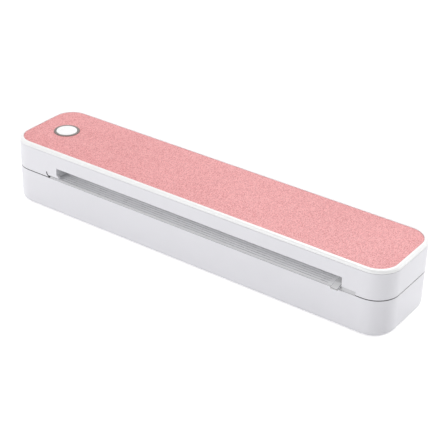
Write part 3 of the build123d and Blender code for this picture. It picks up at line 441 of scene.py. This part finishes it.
def repeated(name, unit, spots, material):
    """One mesh copied to many spots."""
    points = bpy.data.meshes.new(name + "_spots")
    points.from_pydata([tuple(spot) for spot in spots], [], [])
    pattern = linked(name + "_unit", unit)
    repeat = Repeat(name)
    places = repeat.input("Spots", "Geometry")
    shape = repeat.node(
        "GeometryNodeObjectInfo", {"Object": repeat.input("Unit", "Object", pattern)}
    )
    copies = repeat.node(
        "GeometryNodeInstanceOnPoints", {"Points": places, "Instance": shape.outputs["Geometry"]}
    )
    mesh = repeat.mesh(copies.outputs["Instances"], material, points)
    bpy.data.objects.remove(pattern)
    mesh.name = name
    mesh.set_sharp_from_angle(angle=EDGE_ANGLE)
    return mesh


def islands(mesh):
    """The separate lumps of a mesh, each as its faces and its lowest and highest corner."""
    shape = bmesh.new()
    shape.from_mesh(mesh)
    shape.faces.ensure_lookup_table()
    waiting = set(range(len(shape.faces)))
    found = []
    while waiting:
        lump, edge_of_lump = [], [waiting.pop()]
        while edge_of_lump:
            index = edge_of_lump.pop()
            lump.append(index)
            for side in shape.faces[index].edges:
                for neighbour in side.link_faces:
                    if neighbour.index in waiting:
                        waiting.remove(neighbour.index)
                        edge_of_lump.append(neighbour.index)
        corners = [vertex.co for index in lump for vertex in shape.faces[index].verts]
        low = Vector([min(corner[axis] for corner in corners) for axis in range(3)])
        high = Vector([max(corner[axis] for corner in corners) for axis in range(3)])
        found.append((lump, low, high))
    shape.free()
    return found


# The leather panel

def rounded_loop(shape, half_length, half_depth, radius, z):
    """A ring of vertices round a rounded rectangle."""
    corner_steps = 14
    ring = []
    for quarter in range(4):
        centre_x = (half_length - radius) * (1 if quarter in (0, 3) else -1)
        centre_y = (half_depth - radius) * (1 if quarter in (0, 1) else -1)
        for step in range(corner_steps + 1):
            turn = math.pi / 2 * (quarter + step / corner_steps)
            ring.append(shape.verts.new(
                (centre_x + radius * math.cos(turn), centre_y + radius * math.sin(turn), z)
            ))
    return ring


def round_loop(shape, centre, radius, z):
    """A ring of vertices round a circle."""
    steps = 48
    ring = []
    for step in range(steps):
        turn = 2 * math.pi * step / steps
        ring.append(shape.verts.new(
            (centre.x + radius * math.cos(turn), centre.y + radius * math.sin(turn), z)
        ))
    return ring


def ring_edges(shape, ring):
    return [shape.edges.get(pair) or shape.edges.new(pair) for pair in zip(ring, ring[1:] + ring[:1])]


def joined(shape, lower, upper, flip=False):
    """Quads between two rings of the same count."""
    for index in range(len(lower)):
        after = (index + 1) % len(lower)
        corners = [lower[index], lower[after], upper[after], upper[index]]
        shape.faces.new(corners[::-1] if flip else corners)


def leather_panel():
    """The panel with its edges rolled over, and round the button's ring as well."""
    corner = 13.5 * MM
    roll = 0.3 * MM
    roll_steps = 4
    play_round_ring = 0.05 * MM
    pressed_in = 0.22 * MM
    low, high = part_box("leather_panel")
    ring_low, ring_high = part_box("button_bezel")
    centre = (ring_low + ring_high) / 2
    hole = (ring_high.x - ring_low.x) / 2 + play_round_ring
    half_length, half_depth = (high.x - low.x) / 2, (high.y - low.y) / 2
    top = high.z - pressed_in
    shape = bmesh.new()
    outer, inner = [], []
    layers = [(0.0, low.z)]
    layers += [(roll * (1 - math.cos(turn)), top - roll * (1 - math.sin(turn)))
               for turn in (math.pi / 2 * step / roll_steps for step in range(roll_steps + 1))]
    for inset, z in layers:
        outer.append(rounded_loop(shape, half_length - inset, half_depth - inset, corner - inset, z))
        inner.append(round_loop(shape, centre, hole + inset, z))
    for below, above in zip(outer, outer[1:]):
        joined(shape, below, above)
    for below, above in zip(inner, inner[1:]):
        joined(shape, below, above, flip=True)
    for rings in ((outer[-1], inner[-1]), (outer[0], inner[0])):
        edges = ring_edges(shape, rings[0]) + ring_edges(shape, rings[1])
        bmesh.ops.triangle_fill(shape, edges=edges, use_beauty=True)
    bmesh.ops.recalc_face_normals(shape, faces=shape.faces)
    mesh = from_bmesh(shape, "leather_panel_finished", finishes["pink_leather"])
    mesh.set_sharp_from_angle(angle=math.radians(60))
    placed("leather_panel_finished", mesh, "lid", "pink_leather", "leather_panel")


# Lines moulded in the slot's frosted floor, coloured darker as painted shade along the ribs

def guide_plate_lines():
    plate_thickness = 1.2 * MM
    first_line = 1.3 * MM
    standing_proud = 0.02 * MM
    short_of_slot = 14 * MM
    nearer_left = 3 * MM
    low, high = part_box("guide_plate")
    slot_low, slot_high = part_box("upper_guide")
    repeat = Repeat("moulded lines")
    count = repeat.input("Lines", "Int", 5)
    spacing = repeat.input("Spacing", "Float", 2.3 * MM)
    length = repeat.input("Length", "Float", slot_high.x - slot_low.x - short_of_slot)
    width = repeat.input("Width", "Float", 0.55 * MM)
    height = repeat.input("Height", "Float", 0.1 * MM)
    step = repeat.node("ShaderNodeCombineXYZ", {"Y": spacing})
    row = repeat.node("GeometryNodeMeshLine", {"Count": count, "Offset": step.outputs["Vector"]})
    size = repeat.node("ShaderNodeCombineXYZ", {"X": length, "Y": width, "Z": height})
    line = repeat.node("GeometryNodeMeshCube", {"Size": size.outputs["Vector"]})
    copies = repeat.node(
        "GeometryNodeInstanceOnPoints",
        {"Points": row.outputs["Mesh"], "Instance": line.outputs["Mesh"]},
    )
    mesh = repeat.mesh(copies.outputs["Instances"], finishes["painted_rib_shade"])
    middle_x = (slot_low.x + slot_high.x) / 2 - nearer_left
    line_z = low.z + plate_thickness + standing_proud
    mesh.transform(Matrix.Translation((middle_x, low.y + first_line, line_z)))
    placed("guide_plate_lines", mesh, "base", "frosted_plastic")


# Screws

def boolean_cut(mesh, cutter):
    """A mesh with another taken out of it."""
    body = linked("cut", mesh)
    tool = linked("cutter", cutter)
    cut = body.modifiers.new("cut", "BOOLEAN")
    cut.operation = "DIFFERENCE"
    cut.solver = "EXACT"
    cut.use_self = True
    cut.object = tool
    shown = body.evaluated_get(bpy.context.evaluated_depsgraph_get())
    result = bpy.data.meshes.new_from_object(shown)
    bpy.data.objects.remove(body)
    bpy.data.objects.remove(tool)
    return result


def screw_unit(shank, up):
    """A pan-head screw with a cross recess. Its seat is at zero, its head above it if up is 1."""
    head, rise, thread = 1.9 * MM, SCREW_HEAD_HEIGHT, 0.88 * MM
    profile = [(0.0, -shank), (thread * 0.6, -shank), (thread, -shank + 0.5 * MM), (thread, 0.0)]
    profile += [(head - 0.1 * MM, 0.0), (head, 0.1 * MM), (head, rise * 0.45)]
    profile += [(head - 0.12 * MM, rise * 0.72), (head - 0.45 * MM, rise * 0.93)]
    profile += [(head - 0.95 * MM, rise), (0.0, rise)]
    unit = from_bmesh(lathe(profile), "screw", finishes["steel"])
    recess = bmesh.new()
    arm, thin, deep = 1.05 * MM, 0.19 * MM, 0.65 * MM
    bar(recess, (-arm, -thin, rise - deep), (arm, thin, rise + MM))
    bar(recess, (-thin, -arm, rise - deep), (thin, arm, rise + MM))
    cutter = from_bmesh(recess, "recess", finishes["steel"])
    unit = boolean_cut(unit, cutter)
    if up < 0:
        unit.transform(Matrix.Rotation(math.pi, 4, "X"))
    return unit


def screws():
    """The screws of each node, a cross recess in every head."""
    for node in ("deck_screws", "frame_screws", "board_screws", "button_board_screws",
                 "head_frame_screws"):
        up = -1 if node in ("button_board_screws", "head_frame_screws") else 1
        shanks, spots = [], []
        for _, low, high in islands(merged(node)):
            shanks.append(high.z - low.z - SCREW_HEAD_HEIGHT)
            seat = high.z - SCREW_HEAD_HEIGHT if up > 0 else low.z + SCREW_HEAD_HEIGHT
            spots.append(((low.x + high.x) / 2, (low.y + high.y) / 2, seat))
        made = repeated(node, screw_unit(min(shanks), up), spots, finishes["steel"])
        placed(node + "_finished", made, body_of_node[node], "steel", node)


# The print head's springs and its flat cable

def head_springs():
    """Wound springs between the heat sink and the frame above it."""
    wire = 0.25 * MM
    spring_radius = 2.5 * MM
    spring_count = 3
    low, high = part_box("head_springs")
    middle = (low + high) / 2
    repeat = Repeat("head springs")
    turns = repeat.input("Turns", "Float", 6.0)
    radius = repeat.input("Radius", "Float", spring_radius - wire)
    height = repeat.input("Height", "Float", high.z - low.z - 2 * wire)
    thickness = repeat.input("Wire", "Float", wire)
    middles_span = high.x - low.x - 2 * spring_radius
    apart = repeat.input("Apart", "Float", middles_span / (spring_count - 1))
    coil = repeat.node(
        "GeometryNodeCurveSpiral",
        {"Resolution": 24, "Rotations": turns, "Start Radius": radius, "End Radius": radius,
         "Height": height},
    )
    section = repeat.node("GeometryNodeCurvePrimitiveCircle", {"Resolution": 8, "Radius": thickness})
    wound = repeat.node(
        "GeometryNodeCurveToMesh",
        {"Curve": coil.outputs["Curve"], "Profile Curve": section.outputs["Curve"],
         "Fill Caps": True},
    )
    step = repeat.node("ShaderNodeCombineXYZ", {"X": apart})
    row = repeat.node(
        "GeometryNodeMeshLine", {"Count": spring_count, "Offset": step.outputs["Vector"]}
    )
    copies = repeat.node(
        "GeometryNodeInstanceOnPoints",
        {"Points": row.outputs["Mesh"], "Instance": wound.outputs["Mesh"]},
    )
    mesh = repeat.mesh(copies.outputs["Instances"], finishes["steel"])
    mesh.transform(Matrix.Translation((low.x + spring_radius, middle.y, low.z + wire)))
    mesh.shade_smooth()
    springs = placed("head_springs_finished", mesh, "lid", "steel", "head_springs")
    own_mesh(springs)


def ribbon_path():
    """The flat cable's line from the head's strip to its plug on the main board, as (y, z)."""
    return [(21.0, 31.2), (21.0, 24.0), (21.0, 9.0), (20.4, 5.6), (18.6, 4.1), (16.0, 3.62),
            (8.0, 3.6), (0.0, 3.62), (-2.2, 4.0), (-3.0, 5.6), (-3.1, 7.4), (-4.2, 8.9), (-6.0, 9.2),
            (-9.98, 9.2)]


def head_cable():
    """The print head's flat cable, its conductors standing proud."""
    cable_width = 12 * MM
    conductors = 12
    film, proud = 0.08, 0.14
    low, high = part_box("head_cable")
    path = [Vector((0.0, y * MM, z * MM)) for y, z in ribbon_path()]
    curve = bpy.data.curves.new("ribbon", "CURVE")
    curve.dimensions = "3D"
    spline = curve.splines.new("NURBS")
    spline.points.add(len(path) - 1)
    for point, spot in zip(spline.points, path):
        point.co = (*spot, 1.0)
    spline.order_u = 3
    spline.use_endpoint_u = True
    spline.resolution_u = 6
    holder = linked("ribbon", curve)
    line = bpy.data.meshes.new_from_object(
        holder.evaluated_get(bpy.context.evaluated_depsgraph_get())
    )
    spine = [vertex.co.copy() for vertex in line.vertices]
    bpy.data.objects.remove(holder)
    left, right = high.x - cable_width, high.x
    pitch = (right - left) / conductors
    shape = bmesh.new()
    columns = []
    for index in range(conductors):
        start = left + index * pitch
        columns += [(start, film), (start + pitch * 0.3, film), (start + pitch * 0.36, proud),
                    (start + pitch * 0.64, proud), (start + pitch * 0.7, film)]
    columns.append((right, film))
    rows = []
    for index, spot in enumerate(spine):
        ahead = spine[min(index + 1, len(spine) - 1)]
        behind = spine[max(index - 1, 0)]
        along = (ahead - behind).normalized()
        across = along.cross(Vector((1.0, 0.0, 0.0)))
        upper = [shape.verts.new(Vector((x, 0, 0)) + spot + across * lift * MM) for x, lift in columns]
        lower = [shape.verts.new(Vector((x, 0, 0)) + spot - across * lift * MM) for x, lift in columns]
        rows.append(upper + lower[::-1])
    for before, after in zip(rows, rows[1:]):
        joined(shape, before, after)
    for row in (rows[0], rows[-1]):
        shape.faces.new(row)
    bar(shape, (low.x, 20.85 * MM, 31.0 * MM), (right, 21.15 * MM, high.z))
    bmesh.ops.recalc_face_normals(shape, faces=shape.faces)
    mesh = from_bmesh(shape, "head_cable_finished", finishes["cable_film"])
    cable = linked("head_cable_finished", mesh)
    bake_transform(cable)
    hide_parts("head_cable")


# Boards, cells and wiring

def board_components():
    """Chips, plugs and capacitors, told apart by their height, with rows of pins on the chips."""
    chip_height = 3.2 * MM
    capacitor_height = 6 * MM
    pin_pitch = 1.1 * MM
    pin_half_width = 0.18 * MM
    row_ends = 1.2 * MM

    def plug(height):
        return 3.5 * MM < height < capacitor_height or 2 * MM < height < 2.6 * MM

    mesh = merged("board_components")
    for finish in ("component_black", "gear_plastic", "aluminium"):
        mesh.materials.append(finishes[finish])
    chips = []
    for faces, low, high in islands(mesh):
        height = high.z - low.z
        for index in faces:
            face = mesh.polygons[index]
            if height > capacitor_height and face.normal.z > 0.9:
                face.material_index = 2
            elif plug(height):
                face.material_index = 1
        if height < chip_height and not plug(height):
            chips.append((low, high))
    piece = placed("board_components_finished", mesh, "base", "component_black", "board_components")
    rounded(piece, 0.2 * MM)
    pin = bmesh.new()
    for (near, bottom), (far, top) in (((0.0, 0.45), (0.5, 0.6)), ((0.42, 0.0), (0.57, 0.6)),
                                       ((0.5, 0.0), (1.1, 0.14))):
        bar(pin, (-pin_half_width, near * MM, bottom * MM), (pin_half_width, far * MM, top * MM))
    back_pin = from_bmesh(pin, "pin", finishes["nickel"])
    front_pin = back_pin.copy()
    front_pin.transform(Matrix.Rotation(math.pi, 4, "Z"))
    back_spots, front_spots = [], []
    for low, high in chips:
        count = int((high.x - low.x - row_ends) / pin_pitch) + 1
        start = (low.x + high.x) / 2 - (count - 1) * pin_pitch / 2
        for index in range(count):
            back_spots.append((start + index * pin_pitch, high.y, low.z))
            front_spots.append((start + index * pin_pitch, low.y, low.z))
    for name, unit, spots in (("back", back_pin, back_spots), ("front", front_pin, front_spots)):
        made = repeated("chip_pins_" + name, unit, spots, finishes["nickel"])
        placed("chip_pins_" + name, made, "base", "nickel")


def battery_cells():
    """Cells in shrink sleeve, with their tin and an insulating washer at each end."""
    mesh = merged("battery_cells")
    for finish in ("battery_wrap", "nickel", "dark_plastic"):
        mesh.materials.append(finishes[finish])
    for face in mesh.polygons:
        if abs(face.normal.x) > 0.95:
            face.material_index = 1
        elif abs(face.normal.x) > 0.12:
            face.material_index = 2
    placed("battery_cells_finished", mesh, "base", "battery_wrap", "battery_cells")


def wires(node, second):
    """Leads of two colours in one node, the first lump in its own colour."""
    mesh = merged(node)
    mesh.materials.append(finishes["wire_sleeve"])
    mesh.materials.append(second)
    for count, (faces, _, _) in enumerate(islands(mesh)):
        for index in faces:
            mesh.polygons[index].material_index = count % 2
    placed(node + "_finished", mesh, "base", "wire_sleeve", node)


BASE_TOP = 27.2 * MM
LID_BOTTOM = 27.9 * MM
STOP_FOOT = 28.6 * MM
SLIT_LEFT, SLIT_RIGHT = -118.5 * MM, -113.0 * MM
SLIT_BOTTOM, SLIT_TOP = 28.4 * MM, 33.0 * MM
FRONT_WALL_BACK = -29.0 * MM


def painted_gap_shade(z, up):
    """Picks the faces where the two halves of the housing meet, painted dark grey as the shade in the
    seam between them.
    """
    return lambda centre, normal: abs(centre.z - z) < 0.1 * MM and normal.z * up > 0.9


def relief_slit(centre, normal):
    """Picks the sides of the narrow slit beside the paper slot, painted dark grey as the shade inside
    the slit.
    """
    within = SLIT_LEFT < centre.x < SLIT_RIGHT and SLIT_BOTTOM < centre.z < SLIT_TOP
    return within and centre.y < FRONT_WALL_BACK and abs(normal.y) < 0.2


def plate_edge(centre, normal):
    """Picks the plate's front face and the raised stop at its end, which get a darker copy of the
    frosted plastic as painted shade.
    """
    return normal.y < -0.5 or centre.z > STOP_FOOT


made_apart = {
    "side_guide", "leather_panel", "deck_screws", "frame_screws", "board_screws", "button_board_screws",
    "head_frame_screws", "head_springs", "head_cable", "board_components", "battery_cells",
    "battery_wires",
}
# Faces painted with a darker finish as shade: the housing's seam, the slit beside the slot and the
# guide plate's front edge.
shell_zones = {
    "base_shell": [(finishes["painted_gap_shade"], painted_gap_shade(BASE_TOP, 1))],
    "lid_shell": [
        (finishes["painted_gap_shade"], painted_gap_shade(LID_BOTTOM, -1)),
        (finishes["painted_gap_shade"], relief_slit),
    ],
    "guide_plate": [(finishes["painted_frosted_edge_shade"], plate_edge)],
}
for node in nodes:
    if node not in made_apart:
        dressed(node, zones=shell_zones.get(node, ()))
# The side guide's rounded edges are painted dark as shade along the clear plastic's edges.
dressed("side_guide", edge=0.26 * MM, painted_edge_shade=finishes["painted_clear_edge_shade"])
leather_panel()
guide_plate_lines()
screws()
head_springs()
head_cable()
board_components()
battery_cells()
wires("battery_wires", finishes["black_sleeve"])


# The stage: floor, lamps and camera

def floor(size, z):
    mesh = bpy.data.meshes.new("floor")
    half = size / 2
    mesh.from_pydata(
        [(-half, -half, z), (half, -half, z), (half, half, z), (-half, half, z)], [], [(0, 1, 2, 3)]
    )
    plane = linked("floor", mesh)
    finish = Finish("floor", (0.9, 0.9, 0.9), 0.95, specular=0.0)
    finish.shader.inputs["Emission Color"].default_value = (1.0, 1.0, 1.0, 1.0)
    finish.link(seen_directly(finish.tree, 0.0, 0.5), finish.shader.inputs["Emission Strength"])
    mesh.materials.append(finish.material)


def area_lamp(name, azimuth, elevation, distance, size, power):
    """A soft lamp, placed round the object as seen from above, azimuth 0 in front of it."""
    target = Vector((0.0, 0.0, 0.02))
    lamp = bpy.data.lights.new(name, "AREA")
    lamp.shape = "RECTANGLE"
    lamp.size, lamp.size_y = size
    lamp.energy = power
    holder = linked(name, lamp)
    turn, rise = math.radians(azimuth), math.radians(elevation)
    away = Vector((math.sin(turn) * math.cos(rise), -math.cos(turn) * math.cos(rise), math.sin(rise)))
    holder.location = target + away * distance
    holder.rotation_euler = away.to_track_quat("Z", "Y").to_euler()


def seen_directly(tree, otherwise, seen):
    """One strength for light on the object, another for what the camera, gloss or glass shows."""
    rays = tree.nodes.new("ShaderNodeLightPath")
    shown = rays.outputs["Is Camera Ray"]
    for kind in ("Is Glossy Ray", "Is Transmission Ray"):
        larger = tree.nodes.new("ShaderNodeMath")
        larger.operation = "MAXIMUM"
        tree.links.new(shown, larger.inputs[0])
        tree.links.new(rays.outputs[kind], larger.inputs[1])
        shown = larger.outputs["Value"]
    level = tree.nodes.new("ShaderNodeMapRange")
    level.inputs["To Min"].default_value = otherwise
    level.inputs["To Max"].default_value = seen
    tree.links.new(shown, level.inputs["Value"])
    return level.outputs["Result"]


def surroundings(strength, seen_strength):
    """Even studio light, with a white backdrop for the camera, for gloss and for clear pieces."""
    world = bpy.data.worlds.new("studio")
    world.use_nodes = True
    bpy.context.scene.world = world
    tree = world.node_tree
    back = tree.nodes["Background"]
    back.inputs["Color"].default_value = (1.0, 1.0, 1.0, 1.0)
    tree.links.new(seen_directly(tree, strength, seen_strength), back.inputs["Strength"])


def camera(azimuth, elevation, roll, distance, target, lens, shift):
    """A camera at a distance from its target, azimuth 0 looking along +Y."""
    turn, rise, lean = (math.radians(angle) for angle in (azimuth, elevation, roll))
    back = Vector((math.sin(turn) * math.cos(rise), -math.cos(turn) * math.cos(rise), math.sin(rise)))
    right = Vector((math.cos(turn), math.sin(turn), 0.0))
    up = back.cross(right)
    leaned_right = right * math.cos(lean) + up * math.sin(lean)
    leaned_up = up * math.cos(lean) - right * math.sin(lean)
    data = bpy.data.cameras.new("camera")
    data.sensor_width = 36.0
    data.lens = lens
    data.shift_x, data.shift_y = shift
    data.clip_start = 0.01
    holder = linked("camera", data)
    turned = Matrix((leaned_right, leaned_up, back)).transposed().to_4x4()
    holder.matrix_world = Matrix.Translation(Vector(target) + back * distance) @ turned
    bpy.context.scene.camera = holder


floor(size=6.0, z=0.0)
surroundings(strength=0.48, seen_strength=1.0)
area_lamp("front lamp", azimuth=-22, elevation=22, distance=1.8, size=(0.9, 0.6), power=11.9)
area_lamp("right lamp", azimuth=128, elevation=22, distance=1.2, size=(0.6, 0.5), power=4.5)
area_lamp("back lamp", azimuth=203, elevation=52, distance=1.2, size=(0.5, 0.4), power=6.2)
camera(
    azimuth=35.195, elevation=29.858, roll=1.306, distance=0.86047,
    target=(0.0, 0.0, 0.01955), lens=103.74, shift=(0.0313, -0.00835),
)
bpy.context.scene.view_settings.view_transform = "Standard"
